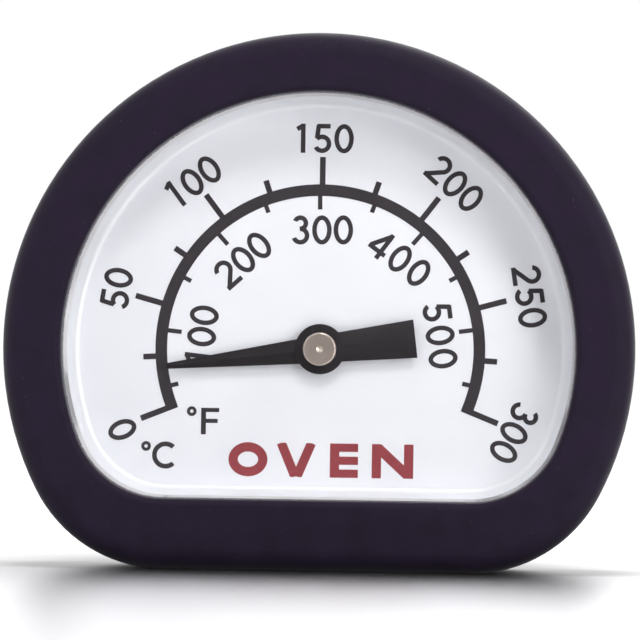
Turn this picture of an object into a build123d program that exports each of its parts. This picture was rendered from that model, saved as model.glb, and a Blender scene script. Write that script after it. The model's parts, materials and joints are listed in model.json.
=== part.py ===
"""Dial thermometer for an oven lid, in millimetres.

The dial faces -Y, the sensor stem points along +Y and +Z is up.  The origin is the centre of the
flat base that the silicone surround stands on.  The stem, the pointer and the dial share one axis,
which runs along Y at the height AXIS_HEIGHT.
"""

import os
from dataclasses import dataclass

from build123d import *

# ---- overall size -------------------------------------------------------------------------------
SURROUND_RADIUS = 32.5          # round top of the silicone surround
AXIS_HEIGHT = 22.85             # stem axis above the flat base
SURROUND_CORNER = 14.8          # radius of the two lower corners
SURROUND_DEPTH = 18.0           # front rim to seating rim
OUTER_EDGE_ROUND = 2.2          # softened outer edges of the silicone
LIP_EDGE_ROUND = 0.7            # softened edge round the dial

# ---- dial opening, from which every shell behind the front lip is stepped -------------------------
OPENING_RADIUS = 26.4
OPENING_DROP = 15.55            # flat edge of the opening below the stem axis
OPENING_CORNER = 9.5

# ---- clearances -----------------------------------------------------------------------------------
SEAT_GAP = 0.05                 # between two curved faces of the fixed assembly
RUNNING_GAP = 0.05              # radial clearance of the spindle in its bearings
THREAD_GAP = 0.06               # radial clearance of the wing nut on the threaded sleeve
COIL_END_GAP = 0.2              # between the turning collar and the coil that is welded to it

# ---- silicone, bezel and case -----------------------------------------------------------------------
FRONT_LIP = 1.8                 # thickness of the silicone lip in front of the bezel
BEZEL_OVERLAP = 2.2             # silicone lip reaches this far over the bezel
BEZEL_SHEET = 0.5
BEZEL_REVEAL = 0.1              # bright edge of the bezel that shows inside the lip
BEZEL_SKIRT = 5.6               # length of the bezel along the case
CASE_SHEET = 0.6
CASE_STEP = 2.0                 # the case draws in this far behind the dial
CASE_BACK_ROUND = 2.0
REAR_LIP_REACH = 3.4            # silicone lip reaches this far over the back of the case

# ---- glass, gasket, spacer and dial -------------------------------------------------------------------
GLASS_THICKNESS = 1.5
GLASS_EDGE_BEVEL = 0.2
GASKET_THICKNESS = 0.8
GASKET_WIDTH = 1.3
SPACER_HEIGHT = 2.2
SPACER_WIDTH = 2.4
DIAL_THICKNESS = 0.5
HUB_DIAL_GAP = 0.3              # radial clearance of the pointer's hub in the dial's hole

# ---- scale and pointer --------------------------------------------------------------------------------
SCALE_SWEEP = 223.8             # degrees from the first to the last mark
SCALE_SPAN = 300.0              # temperature span of the scale in Celsius
ROOM_TEMPERATURE = 19.8         # what the pointer reads at rest
POINTER_THICKNESS = 0.35
POINTER_DIAL_GAP = 0.8          # air between the dial and the back of the pointer
POINTER_LENGTH = 16.0
POINTER_TIP_WIDTH = 0.6
POINTER_ROOT_WIDTH = 2.9
TAIL_LENGTH = 9.95
TAIL_ROOT_WIDTH = 2.8
TAIL_END_WIDTH = 4.0
BOSS_RADIUS = 2.6
HUB_RADIUS = 1.2
CAP_RADIUS = 1.73
CAP_HEIGHT = 0.7
CAP_EDGE_ROUND = 0.2
CAP_DIMPLE_RADIUS = 0.35
CAP_DIMPLE_DEPTH = 0.12

# ---- stem and sensing element ---------------------------------------------------------------------------
SPINDLE_RADIUS = 0.4
STEM_RADIUS = 1.8
STEM_WALL = 0.3
STEM_REACH = 38.0               # from the seating rim to the tip of the stem
STEM_TIP_LENGTH = 2.0
STEM_TIP_ROUND = 1.2
CRIMP_WIDTH = 0.8               # rolled groove that holds the lower bearing in the tube
CRIMP_DEPTH = 0.25
UPPER_BEARING_LENGTH = 3.0
UPPER_BEARING_FLANGE = 0.8
UPPER_BEARING_FLANGE_REACH = 0.8    # flange beyond the outside of the stem
LOWER_BEARING_LENGTH = 1.5
LOWER_BEARING_SETBACK = 0.8     # lower bearing behind the end of the threaded sleeve
COLLAR_TUBE_GAP = 0.35          # between the collar and the inside of the stem
COLLAR_LENGTH = 1.8
COLLAR_END_PLAY = 0.3
COIL_TUBE_GAP = 0.3             # between the coil and the inside of the stem
COIL_STRIP_THICKNESS = 0.2
COIL_STRIP_WIDTH = 0.8
COIL_TURNS = 12
ANCHOR_LENGTH = 2.4
ANCHOR_COIL_GAP = 0.2           # between the anchor's peg and the inside of the coil

# ---- fixing through the lid -------------------------------------------------------------------------
THREAD_RADIUS = 3.0             # M6 outside radius
THREAD_PITCH = 1.0
THREAD_REACH = 15.0             # sleeve length behind the seating rim
THREAD_DEPTH_RATIO = 0.61       # thread depth for each millimetre of pitch
SLEEVE_FLANGE_REACH = 2.2       # flange beyond the thread
SLEEVE_FLANGE_THICKNESS = 1.0
LOCKNUT_ACROSS_FLATS = 10.0
LOCKNUT_THICKNESS = 3.2
LOCKNUT_BEVEL = 0.5
NUT_RECESS = 0.1                # lock nut sits this far inside the seating rim
WASHER_RADIUS = 9.0
WASHER_GAP = 0.2                # radial clearance of the washers on the thread
WASHER_THICKNESS = 1.6
GASKET_WASHER_THICKNESS = 1.5
SEAT_SPACE = 0.1                # air between the seating rim and the first washer
WING_NUT_HUB_RADIUS = 6.0
WING_NUT_HUB_TOP_RADIUS = 5.2
WING_NUT_HUB_HEIGHT = 8.0
WING_NUT_SPAN = 33.0
WING_NUT_HEIGHT = 17.0
WING_THICKNESS = 2.2
WING_TIP_RADIUS = 4.4
WING_EDGE_ROUND = 0.7
WING_TILT = 20.0                # turn of the wings about the stem, from level


@dataclass(frozen=True)
class Outline:
    """Round outline cut by a flat below, its two corners rounded, centred on the stem axis."""

    radius: float
    drop: float
    corner: float

    def grown(self, distance: float) -> "Outline":
        """The outline stepped outwards all round, or inwards where the distance is negative."""
        return Outline(self.radius + distance, self.drop + distance, self.corner + distance)

    def sketch(self) -> Sketch:
        """The outline as a face, with x to the right and y up."""
        above = Pos(0, self.radius - self.drop) * Rectangle(3 * self.radius, 2 * self.radius)
        disc = Circle(self.radius) & above
        return fillet(disc.vertices(), self.corner)


def plane_at(y: float) -> Plane:
    """Plane across the stem axis, looking out of the front of the dial."""
    return Plane(origin=(0, y, AXIS_HEIGHT), x_dir=(1, 0, 0), z_dir=(0, -1, 0))


def slab(shape: Sketch, front: float, rear: float) -> Part:
    """The sketch filled from its front to its rear position along Y."""
    return extrude(plane_at(rear) * shape, amount=rear - front)


def disc(radius: float, front: float, rear: float) -> Part:
    """Round plate or rod on the stem axis."""
    return slab(Circle(radius), front, rear)


def tube(outer: float, inner: float, front: float, rear: float) -> Part:
    """Ring or pipe on the stem axis."""
    return slab(Circle(outer) - Circle(inner), front, rear)


def frame_ring(outer: Outline, inner: Outline, front: float, rear: float) -> Part:
    """Flat ring between two outlines."""
    return slab(outer.sketch() - inner.sketch(), front, rear)


def edges_at(part: Part, y: float) -> ShapeList:
    """All edges that lie wholly at one position along Y."""
    return part.edges().filter_by_position(Axis.Y, y - 0.001, y + 0.001)


def longest_loop(part: Part, y: float) -> ShapeList:
    """The outermost closed loop of edges at one position along Y."""
    face = part.faces().filter_by(Axis.Y).filter_by_position(Axis.Y, y - 0.001, y + 0.001)[0]
    return face.outer_wire().edges()


def inner_loop(part: Part, y: float) -> ShapeList:
    """The loop of edges round the opening at one position along Y."""
    face = part.faces().filter_by(Axis.Y).filter_by_position(Axis.Y, y - 0.001, y + 0.001)[0]
    return face.inner_wires()[0].edges()


# ---- places along Y, from the front rim to the tip of the stem ----------------------------------------
FRONT_RIM = -SURROUND_DEPTH / 2
SEATING_RIM = SURROUND_DEPTH / 2
BEZEL_FRONT = FRONT_RIM + FRONT_LIP
BEZEL_REAR = BEZEL_FRONT + BEZEL_SKIRT
GLASS_FRONT = BEZEL_FRONT + BEZEL_SHEET
GASKET_FRONT = GLASS_FRONT + GLASS_THICKNESS
SPACER_FRONT = GASKET_FRONT + GASKET_THICKNESS
DIAL_FRONT = SPACER_FRONT + SPACER_HEIGHT
DIAL_REAR = DIAL_FRONT + DIAL_THICKNESS
CASE_REAR = SEATING_RIM - NUT_RECESS - LOCKNUT_THICKNESS
CASE_FLOOR = CASE_REAR - CASE_SHEET
SLEEVE_FRONT = CASE_FLOOR - SLEEVE_FLANGE_THICKNESS
SLEEVE_REAR = SEATING_RIM + THREAD_REACH
POINTER_REAR = DIAL_FRONT - POINTER_DIAL_GAP
POINTER_FRONT = POINTER_REAR - POINTER_THICKNESS
CAP_FRONT = POINTER_FRONT - CAP_HEIGHT
LOWER_BEARING_FRONT = SLEEVE_REAR + LOWER_BEARING_SETBACK
LOWER_BEARING_REAR = LOWER_BEARING_FRONT + LOWER_BEARING_LENGTH
CRIMP_FRONT = (LOWER_BEARING_FRONT + LOWER_BEARING_REAR - CRIMP_WIDTH) / 2
CRIMP_REAR = CRIMP_FRONT + CRIMP_WIDTH
COLLAR_FRONT = LOWER_BEARING_REAR + COLLAR_END_PLAY
COLLAR_REAR = COLLAR_FRONT + COLLAR_LENGTH
STEM_TIP = SEATING_RIM + STEM_REACH
TIP_FRONT = STEM_TIP - STEM_TIP_LENGTH
ANCHOR_FRONT = TIP_FRONT - ANCHOR_LENGTH
COIL_FRONT = COLLAR_REAR + COIL_END_GAP
COIL_REAR = ANCHOR_FRONT + ANCHOR_LENGTH / 2
WASHER_STACK_FRONT = SEATING_RIM + SEAT_SPACE
WASHER_FRONT = WASHER_STACK_FRONT + GASKET_WASHER_THICKNESS
WING_NUT_FRONT = WASHER_FRONT + WASHER_THICKNESS

# ---- outlines, stepped from the opening ---------------------------------------------------------------
OUTER = Outline(SURROUND_RADIUS, AXIS_HEIGHT, SURROUND_CORNER)
OPENING = Outline(OPENING_RADIUS, OPENING_DROP, OPENING_CORNER)
BEZEL_OUTER = OPENING.grown(BEZEL_OVERLAP)
BEZEL_OPENING = OPENING.grown(-BEZEL_REVEAL)
CASE_OUTER = BEZEL_OUTER.grown(-BEZEL_SHEET - SEAT_GAP)
CASE_INNER = CASE_OUTER.grown(-CASE_SHEET)
GLASS_OUTER = CASE_INNER.grown(-SEAT_GAP)
REAR_OUTER = CASE_OUTER.grown(-CASE_STEP)
REAR_INNER = REAR_OUTER.grown(-CASE_SHEET)

# ---- radii that fit to one another --------------------------------------------------------------------
STEM_BORE = STEM_RADIUS - STEM_WALL
COLLAR_RADIUS = STEM_BORE - COLLAR_TUBE_GAP
COIL_MEAN_RADIUS = STEM_BORE - COIL_TUBE_GAP - COIL_STRIP_THICKNESS / 2
ANCHOR_PEG_RADIUS = COIL_MEAN_RADIUS - COIL_STRIP_THICKNESS / 2 - ANCHOR_COIL_GAP
DIAL_HOLE_RADIUS = HUB_RADIUS + HUB_DIAL_GAP
UPPER_BEARING_FLANGE_RADIUS = STEM_RADIUS + UPPER_BEARING_FLANGE_REACH
SLEEVE_FLANGE_RADIUS = THREAD_RADIUS + SLEEVE_FLANGE_REACH
WASHER_HOLE_RADIUS = THREAD_RADIUS + WASHER_GAP


def silicone_surround() -> Part:
    """Soft ring round the case, with a lip over the bezel and a lip over the back of the case."""
    body = slab(OUTER.sketch(), FRONT_RIM, SEATING_RIM)
    body = fillet(longest_loop(body, FRONT_RIM) + longest_loop(body, SEATING_RIM), OUTER_EDGE_ROUND)
    body -= slab(BEZEL_OUTER.grown(SEAT_GAP).sketch(), BEZEL_FRONT, BEZEL_REAR + SEAT_GAP)
    body -= slab(CASE_OUTER.grown(SEAT_GAP).sketch(), BEZEL_FRONT, DIAL_REAR + CASE_SHEET)
    body -= slab(REAR_OUTER.grown(SEAT_GAP).sketch(), BEZEL_FRONT, CASE_REAR)
    body -= slab(OPENING.sketch(), FRONT_RIM, BEZEL_FRONT)
    body -= slab(REAR_OUTER.grown(-REAR_LIP_REACH).sketch(), CASE_REAR, SEATING_RIM)
    body = fillet(inner_loop(body, FRONT_RIM) + inner_loop(body, SEATING_RIM), LIP_EDGE_ROUND)
    return body


def rear_case() -> Part:
    """Drawn metal cup: a wide mouth for the glass and dial, and a narrower closed back."""
    ledge_rear = DIAL_REAR + CASE_SHEET
    case = frame_ring(CASE_OUTER, CASE_INNER, GLASS_FRONT, ledge_rear)
    case += frame_ring(CASE_OUTER, REAR_INNER, DIAL_REAR, ledge_rear)
    back = slab(REAR_OUTER.sketch(), DIAL_REAR, CASE_REAR)
    back = fillet(longest_loop(back, CASE_REAR), CASE_BACK_ROUND)
    hollow = slab(REAR_INNER.sketch(), DIAL_REAR, CASE_FLOOR)
    hollow = fillet(longest_loop(hollow, CASE_FLOOR), CASE_BACK_ROUND - CASE_SHEET)
    case += back - hollow
    return case - disc(THREAD_RADIUS + SEAT_GAP, CASE_FLOOR, CASE_REAR)


def bezel_ring() -> Part:
    """Thin ring folded over the mouth of the case, which holds the glass."""
    face = frame_ring(BEZEL_OUTER, BEZEL_OPENING, BEZEL_FRONT, GLASS_FRONT)
    skirt = frame_ring(BEZEL_OUTER, CASE_OUTER.grown(SEAT_GAP), GLASS_FRONT, BEZEL_REAR)
    ring = face + skirt
    return fillet(longest_loop(ring, BEZEL_FRONT), BEZEL_SHEET * 0.9)


def glass_lens() -> Part:
    """Flat window with a ground edge."""
    glass = slab(GLASS_OUTER.sketch(), GLASS_FRONT, GASKET_FRONT)
    return chamfer(edges_at(glass, GLASS_FRONT) + edges_at(glass, GASKET_FRONT), GLASS_EDGE_BEVEL)


def lens_gasket() -> Part:
    """Flat soft ring under the glass."""
    return frame_ring(GLASS_OUTER, GLASS_OUTER.grown(-GASKET_WIDTH), GASKET_FRONT, SPACER_FRONT)


def dial_spacer() -> Part:
    """Ring that holds the dial against its ledge and keeps the glass clear of the pointer."""
    return frame_ring(GLASS_OUTER, GLASS_OUTER.grown(-SPACER_WIDTH), SPACER_FRONT, DIAL_FRONT)


def dial_plate() -> Part:
    """Sheet metal dial with a hole for the spindle."""
    return slab(GLASS_OUTER.sketch() - Circle(DIAL_HOLE_RADIUS), DIAL_FRONT, DIAL_REAR)


def rest_angle() -> float:
    """Direction of the pointer at rest, counter-clockwise from the right as seen from the front."""
    first_mark = 90 + SCALE_SWEEP / 2
    return first_mark - SCALE_SWEEP * ROOM_TEMPERATURE / SCALE_SPAN


def pointer() -> Part:
    """Stamped blade with a round boss and a broad tail, bored for the spindle."""
    blade = Polygon(
        (0, POINTER_ROOT_WIDTH / 2),
        (0, -POINTER_ROOT_WIDTH / 2),
        (POINTER_LENGTH, -POINTER_TIP_WIDTH / 2),
        (POINTER_LENGTH, POINTER_TIP_WIDTH / 2),
        align=None,
    )
    tail = Polygon(
        (0, TAIL_ROOT_WIDTH / 2),
        (-TAIL_LENGTH, TAIL_END_WIDTH / 2),
        (-TAIL_LENGTH, -TAIL_END_WIDTH / 2),
        (0, -TAIL_ROOT_WIDTH / 2),
        align=None,
    )
    shape = blade + tail + Circle(BOSS_RADIUS) - Circle(SPINDLE_RADIUS)
    return slab(Rot(0, 0, rest_angle()) * shape, POINTER_FRONT, POINTER_REAR)


def pointer_hub() -> Part:
    """Brass bush behind the blade, pressed on the spindle and clear of the dial's hole."""
    return tube(HUB_RADIUS, SPINDLE_RADIUS, POINTER_REAR, DIAL_REAR)


def pointer_cap() -> Part:
    """Plated head in front of the blade, with a small centre mark."""
    cap = disc(CAP_RADIUS, CAP_FRONT, POINTER_FRONT)
    cap = fillet(edges_at(cap, CAP_FRONT), CAP_EDGE_ROUND)
    dimple = Pos(0, CAP_FRONT, AXIS_HEIGHT) * Rot(-90, 0, 0) * Cone(
        CAP_DIMPLE_RADIUS, 0, CAP_DIMPLE_DEPTH, align=(Align.CENTER, Align.CENTER, Align.MIN)
    )
    return cap - dimple


def spindle() -> Part:
    """Thin rod that carries the pointer, from the cap to the collar on the coil."""
    return disc(SPINDLE_RADIUS, POINTER_FRONT, COLLAR_REAR)


def spindle_collar() -> Part:
    """Collar pressed on the rear end of the spindle, to which the coil is welded."""
    return tube(COLLAR_RADIUS, SPINDLE_RADIUS, COLLAR_FRONT, COLLAR_REAR)


def upper_bearing() -> Part:
    """Flanged bush in the mouth of the stem."""
    bore = SPINDLE_RADIUS + RUNNING_GAP
    flange_front = SLEEVE_FRONT - UPPER_BEARING_FLANGE
    flange = tube(UPPER_BEARING_FLANGE_RADIUS, bore, flange_front, SLEEVE_FRONT)
    return flange + tube(STEM_BORE - SEAT_GAP, bore, SLEEVE_FRONT, SLEEVE_FRONT + UPPER_BEARING_LENGTH)


def lower_bearing() -> Part:
    """Bush inside the stem, just in front of the collar, with a groove for the crimp."""
    outside = STEM_BORE - SEAT_GAP
    bore = SPINDLE_RADIUS + RUNNING_GAP
    bush = tube(outside, bore, LOWER_BEARING_FRONT, LOWER_BEARING_REAR)
    groove_front = CRIMP_FRONT - SEAT_GAP
    groove_rear = CRIMP_REAR + SEAT_GAP
    return bush - tube(outside + SEAT_GAP, outside - CRIMP_DEPTH, groove_front, groove_rear)


def bimetal_coil() -> Part:
    """Bimetal strip wound as a helix, from the collar to the anchor."""
    height = COIL_REAR - COIL_FRONT - COIL_STRIP_WIDTH
    line = Helix(height / COIL_TURNS, height, COIL_MEAN_RADIUS)
    start = Plane(origin=line @ 0, x_dir=(1, 0, 0), z_dir=line % 0)
    strip = start * Rectangle(COIL_STRIP_THICKNESS, COIL_STRIP_WIDTH)
    coil = sweep(strip, path=line, is_frenet=True)
    middle = COIL_FRONT + COIL_STRIP_WIDTH / 2
    return Pos(0, middle, AXIS_HEIGHT) * Rot(-90, 0, 0) * coil


def coil_anchor() -> Part:
    """Peg in the tip of the stem, with a shoulder that fills the tube."""
    shoulder_front = ANCHOR_FRONT + ANCHOR_LENGTH / 2 + SEAT_GAP
    shoulder = disc(STEM_BORE - SEAT_GAP, shoulder_front, TIP_FRONT)
    return shoulder + disc(ANCHOR_PEG_RADIUS, ANCHOR_FRONT, shoulder_front)


def stem_tube() -> Part:
    """Thin steel tube that holds the sensing element, crimped over the lower bearing."""
    pipe = tube(STEM_RADIUS, STEM_BORE, SLEEVE_FRONT, TIP_FRONT)
    ridge = tube(STEM_BORE + SEAT_GAP, STEM_BORE - CRIMP_DEPTH, CRIMP_FRONT, CRIMP_REAR)
    groove = tube(STEM_RADIUS + SEAT_GAP, STEM_RADIUS - CRIMP_DEPTH, CRIMP_FRONT, CRIMP_REAR)
    return pipe + ridge - groove


def stem_tip_plug() -> Part:
    """Rounded plug welded to the end of the stem tube."""
    plug = disc(STEM_RADIUS, TIP_FRONT, STEM_TIP)
    return fillet(edges_at(plug, STEM_TIP), STEM_TIP_ROUND)


def threaded_sleeve() -> Part:
    """Sleeve round the stem: a flange inside the case and a threaded shank through its back."""
    bore = STEM_RADIUS + SEAT_GAP
    shank = disc(THREAD_RADIUS, CASE_FLOOR, SLEEVE_REAR)
    shank = chamfer(edges_at(shank, SLEEVE_REAR), THREAD_DEPTH_RATIO * THREAD_PITCH)
    flange = disc(SLEEVE_FLANGE_RADIUS, SLEEVE_FRONT, CASE_FLOOR)
    return flange + shank - disc(bore, SLEEVE_FRONT, SLEEVE_REAR)


def case_locknut() -> Part:
    """Thin hexagon nut that clamps the sleeve to the back of the case."""
    rear = CASE_REAR + LOCKNUT_THICKNESS
    corner_radius = LOCKNUT_ACROSS_FLATS / 3**0.5
    hexagon = slab(RegularPolygon(corner_radius, 6), CASE_REAR, rear)
    turned = disc(corner_radius, CASE_REAR, rear)
    turned = chamfer(edges_at(turned, CASE_REAR) + edges_at(turned, rear), LOCKNUT_BEVEL)
    return (hexagon & turned) - disc(THREAD_RADIUS + SEAT_GAP, CASE_REAR, rear)


def sealing_washer() -> Part:
    """Soft washer that seals the hole in the lid."""
    return tube(WASHER_RADIUS, WASHER_HOLE_RADIUS, WASHER_STACK_FRONT, WASHER_FRONT)


def large_washer() -> Part:
    """Steel washer between the soft washer and the wing nut."""
    washer = tube(WASHER_RADIUS, WASHER_HOLE_RADIUS, WASHER_FRONT, WING_NUT_FRONT)
    return fillet(longest_loop(washer, WING_NUT_FRONT), WASHER_THICKNESS / 6)


def wing_profile() -> Sketch:
    """One wing seen side-on, with x away from the stem and y along it from the nut's foot."""
    tip_x = WING_NUT_SPAN / 2 - WING_TIP_RADIUS
    tip_y = WING_NUT_HEIGHT - WING_TIP_RADIUS
    root = (WING_NUT_HUB_RADIUS + WING_NUT_HUB_TOP_RADIUS) / 2 - WING_THICKNESS / 2
    ear = Pos(tip_x, tip_y) * Circle(WING_TIP_RADIUS)
    arm = make_hull(
        ear.edges()
        + Line((root, WING_NUT_HUB_HEIGHT * 0.15), (root, WING_NUT_HUB_HEIGHT * 0.9)).edges()
    )
    return arm


def wing_nut() -> Part:
    """Cast wing nut: a tapered hub with two rounded wings."""
    hub = Cone(
        WING_NUT_HUB_RADIUS,
        WING_NUT_HUB_TOP_RADIUS,
        WING_NUT_HUB_HEIGHT,
        align=(Align.CENTER, Align.CENTER, Align.MIN),
    )
    wing = extrude(Plane.XZ * wing_profile(), amount=WING_THICKNESS / 2, both=True)
    nut = hub
    for side in (0, 180):
        nut += Rot(0, 0, side) * fillet(wing.faces().filter_by(Axis.Y).edges(), WING_EDGE_ROUND)
    bore = Cylinder(
        THREAD_RADIUS + THREAD_GAP,
        WING_NUT_HUB_HEIGHT,
        align=(Align.CENTER, Align.CENTER, Align.MIN),
    )
    nut -= bore
    return Pos(0, WING_NUT_FRONT, AXIS_HEIGHT) * Rot(0, WING_TILT, 0) * Rot(-90, 0, 0) * nut


PIECES = (
    silicone_surround,
    rear_case,
    bezel_ring,
    glass_lens,
    lens_gasket,
    dial_spacer,
    dial_plate,
    pointer,
    pointer_hub,
    pointer_cap,
    spindle,
    spindle_collar,
    upper_bearing,
    lower_bearing,
    bimetal_coil,
    coil_anchor,
    stem_tube,
    stem_tip_plug,
    threaded_sleeve,
    case_locknut,
    sealing_washer,
    large_washer,
    wing_nut,
)


def main() -> None:
    """Build every piece and write one STEP file for each."""
    os.makedirs("parts", exist_ok=True)
    for build in PIECES:
        piece = build()
        export_step(piece, os.path.join("parts", build.__name__ + ".step"))
        print(build.__name__, "volume", round(piece.volume, 2))


if __name__ == "__main__":
    main()
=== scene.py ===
"""Oven thermometer: fine shapes, dial print and finishes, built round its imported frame.

New pieces are modelled in millimetres, in the part's frame: the dial faces -Y, the stem points
along +Y and +Z is up.  Each one is scaled to metres when it is put in place.
"""

import json
import logging
import math
from collections.abc import Callable, Iterator
from contextlib import contextmanager
from dataclasses import dataclass, field
from enum import Enum

import bmesh
import bpy
from mathutils import Matrix, Vector


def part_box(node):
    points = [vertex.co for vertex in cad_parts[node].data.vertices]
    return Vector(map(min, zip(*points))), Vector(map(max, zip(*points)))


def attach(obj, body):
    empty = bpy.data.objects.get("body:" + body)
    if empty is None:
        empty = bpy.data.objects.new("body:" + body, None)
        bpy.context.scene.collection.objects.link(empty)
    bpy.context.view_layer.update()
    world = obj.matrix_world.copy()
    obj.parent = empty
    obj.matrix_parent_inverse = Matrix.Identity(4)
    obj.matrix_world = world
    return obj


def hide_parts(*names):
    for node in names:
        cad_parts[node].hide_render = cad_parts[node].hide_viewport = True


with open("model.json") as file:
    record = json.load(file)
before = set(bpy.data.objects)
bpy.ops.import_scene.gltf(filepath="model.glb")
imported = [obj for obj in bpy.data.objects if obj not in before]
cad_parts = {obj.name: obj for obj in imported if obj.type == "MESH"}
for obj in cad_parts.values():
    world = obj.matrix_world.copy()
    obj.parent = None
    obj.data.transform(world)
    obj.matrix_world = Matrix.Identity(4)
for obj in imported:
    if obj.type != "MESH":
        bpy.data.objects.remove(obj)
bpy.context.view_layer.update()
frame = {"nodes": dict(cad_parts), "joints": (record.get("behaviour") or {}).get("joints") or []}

MM = 0.001
log = logging.getLogger("thermometer")

# An offset in the dial's plane, in millimetres: x to the right and y up.
Spot = tuple[float, float]

# Short names for Blender's types.
Piece = bpy.types.Object
EditMesh = bmesh.types.BMesh
Tree = bpy.types.NodeTree
Socket = bpy.types.NodeSocket


class Body(Enum):
    """The rigid bodies of the thermometer."""

    CASE = "case"
    POINTER = "pointer_set"
    WASHERS = "washers"
    WING_NUT = "wing_nut"


# ---- colours and nodes ----


def linear(colour: str) -> tuple[float, float, float, float]:
    """Turn an sRGB hex colour into the linear colour that a shader takes.

    Args:
        colour: Six hex digits after a hash sign.

    Returns:
        Red, green, blue and an alpha of one.
    """
    channels = [int(colour[i : i + 2], 16) / 255 for i in (1, 3, 5)]
    made = [c / 12.92 if c <= 0.04045 else ((c + 0.055) / 1.055) ** 2.4 for c in channels]
    return (made[0], made[1], made[2], 1.0)


def add_node(
    tree: Tree,
    kind: str,
    values: dict | None = None,
    links: dict | None = None,
    **settings: object,
) -> bpy.types.Node:
    """Add one node with its settings, socket values and links.

    Args:
        tree: Node tree that gets the node.
        kind: Blender's name for the kind of node.
        values: Socket name or index to its value.
        links: Socket name or index to the output that feeds it.
        settings: Properties of the node itself.

    Returns:
        The new node.
    """
    node = tree.nodes.new(kind)
    for key, value in settings.items():
        setattr(node, key, value)
    for socket, value in (values or {}).items():
        node.inputs[socket].default_value = value
    for socket, source in (links or {}).items():
        tree.links.new(source, node.inputs[socket])
    return node


@dataclass(frozen=True)
class Noise:
    """A noise pattern on the piece's own coordinates."""

    size_mm: float
    detail: float = 3.0
    stretch: tuple[float, float, float] = (1, 1, 1)

    def factor(self, tree: Tree) -> Socket:
        """Add the pattern; a small stretch along an axis draws its grain out along it.

        Args:
            tree: Node tree of the material.

        Returns:
            The noise as a factor.
        """
        place = add_node(tree, "ShaderNodeTexCoord").outputs["Object"]
        mapped = add_node(
            tree, "ShaderNodeMapping", values={"Scale": self.stretch}, links={"Vector": place}
        )
        made = add_node(
            tree,
            "ShaderNodeTexNoise",
            values={"Scale": 1 / (self.size_mm * MM), "Detail": self.detail},
            links={"Vector": mapped.outputs["Vector"]},
        )
        return made.outputs["Factor" if "Factor" in made.outputs else "Fac"]


# Most of a noise lies between these factors.
NOISE_LOW, NOISE_HIGH = 0.3, 0.7


@dataclass(frozen=True)
class Finish:
    """A material with a name: the base of every finish below."""

    name: str

    def material(self) -> bpy.types.Material:
        """Return the finish as a material, made the first time that it is asked for."""
        made = bpy.data.materials.get(self.name)
        if made is None:
            made = bpy.data.materials.new(self.name)
            made.use_nodes = True
            made.node_tree.nodes.clear()
            shader = self.surface(made.node_tree)
            add_node(made.node_tree, "ShaderNodeOutputMaterial", links={"Surface": shader})
        return made

    def surface(self, tree: Tree) -> Socket:
        """Build the shader and return its output."""
        raise NotImplementedError


@dataclass(frozen=True)
class Opaque(Finish):
    """An opaque surface: two close tones in blotches, under a grain that breaks its gloss.

    The roughness lies between roughness - smoother and roughness + rougher.
    """

    body: str = "#ffffff"
    shade: str = "#eeeeee"
    shade_share: float = 1.0
    blotches: Noise = Noise(3.0)
    grain: Noise | None = None
    grain_depth_mm: float = 0.004
    grain_strength: float = 0.5
    blotchy_gloss: bool = False
    roughness: float = 0.5
    smoother: float = 0.0
    rougher: float = 0.1
    metallic: float = 0.0
    ior: float = 1.5
    specular: float = 0.5
    sheen: float = 0.0
    sheen_roughness: float = 0.4

    def surface(self, tree: Tree) -> Socket:
        """Build the tones, the relief of the grain and the gloss, and return the shader."""
        blotches = self.blotches.factor(tree)
        gloss = blotches
        links = {"Base Color": self.colour(tree, blotches)}
        if self.grain:
            grain = self.grain.factor(tree)
            relief = add_node(
                tree,
                "ShaderNodeBump",
                values={"Strength": self.grain_strength, "Distance": self.grain_depth_mm * MM},
                links={"Height": grain},
            )
            links["Normal"] = relief.outputs["Normal"]
            gloss = blotches if self.blotchy_gloss else grain
        links["Roughness"] = add_node(
            tree,
            "ShaderNodeMapRange",
            values={
                "From Min": NOISE_LOW,
                "From Max": NOISE_HIGH,
                "To Min": self.roughness - self.smoother,
                "To Max": self.roughness + self.rougher,
            },
            links={"Value": gloss},
        ).outputs["Result"]
        values = {
            "Metallic": self.metallic,
            "IOR": self.ior,
            "Specular IOR Level": self.specular,
            "Sheen Weight": self.sheen,
            "Sheen Roughness": self.sheen_roughness,
        }
        shader = add_node(tree, "ShaderNodeBsdfPrincipled", values=values, links=links)
        return shader.outputs["BSDF"]

    def colour(self, tree: Tree, blotches: Socket) -> Socket:
        """Mix the two tones.

        Args:
            tree: Node tree of the material.
            blotches: The noise that says where the shade lies.

        Returns:
            The colour.
        """
        share = add_node(
            tree,
            "ShaderNodeMapRange",
            values={"From Min": NOISE_LOW, "From Max": NOISE_HIGH, "To Max": self.shade_share},
            links={"Value": blotches},
        )
        return add_node(
            tree,
            "ShaderNodeMix",
            data_type="RGBA",
            values={6: linear(self.body), 7: linear(self.shade)},
            links={"Factor": share.outputs["Result"]},
        ).outputs[2]


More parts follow.
